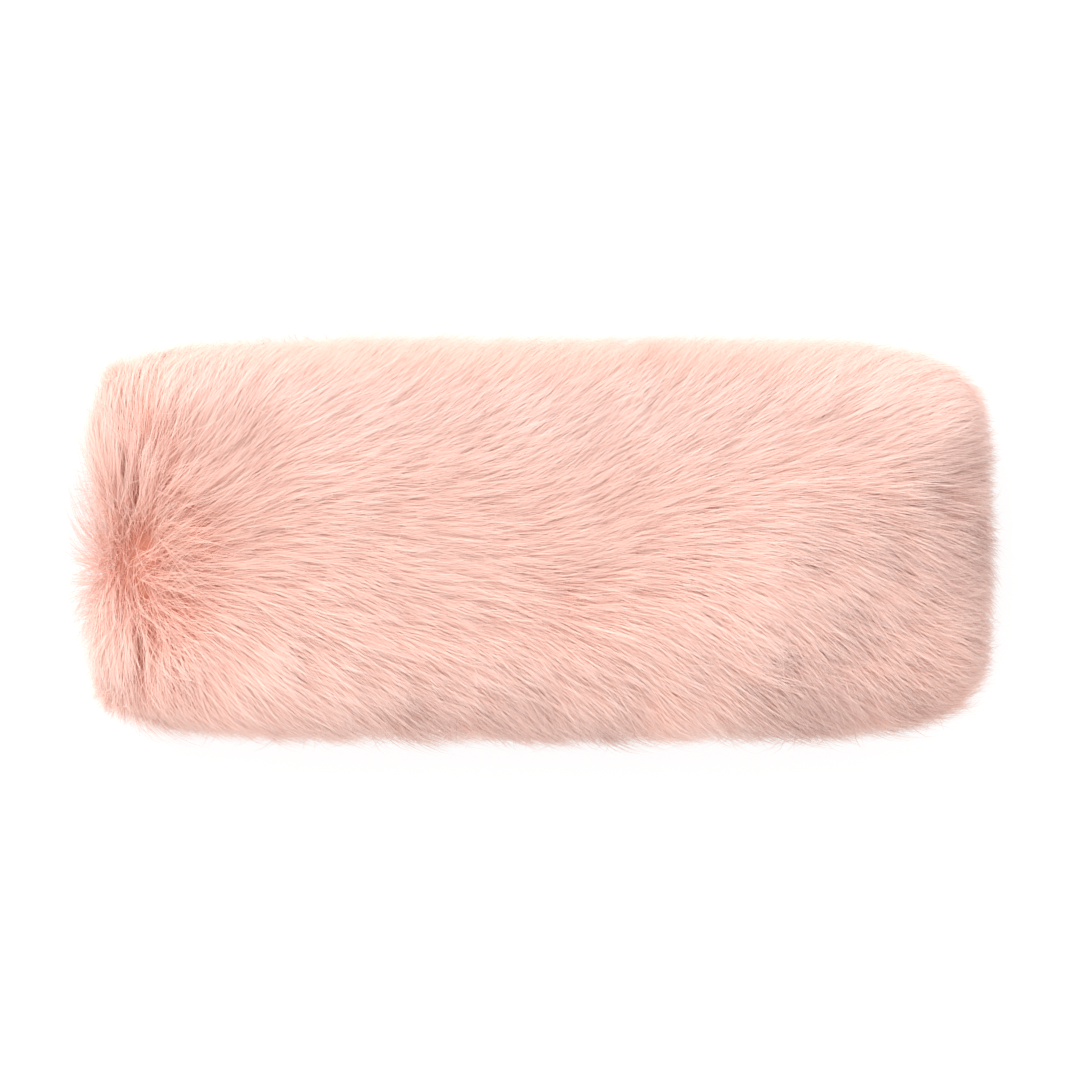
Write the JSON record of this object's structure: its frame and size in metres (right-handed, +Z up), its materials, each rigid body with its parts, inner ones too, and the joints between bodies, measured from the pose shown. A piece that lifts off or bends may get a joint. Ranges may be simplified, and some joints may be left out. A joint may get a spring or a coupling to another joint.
{
  "type": "faux fur headwrap",
  "caption": "Wide looped headband of long-pile faux fur on a knitted backing, lying folded flat, open through its middle for the head.",
  "frame": {"origin": "bottom centre of the whole band's bounding box, on the surface that it lies on", "axes": "+X along the folded band in the direction that the fur of the upper layer lies, +Y across the band, +Z up"},
  "size_m": [0.2698, 0.1216, 0.0477],
  "materials": {
    "pile": "long soft acrylic fur pile, blush pink",
    "backing": "fine warp knit, matt"
  },
  "bodies": {
    "root": {"fur_pile": "pile", "backing_band": "backing", "join_seam": "backing"}
  },
  "joints": []
}
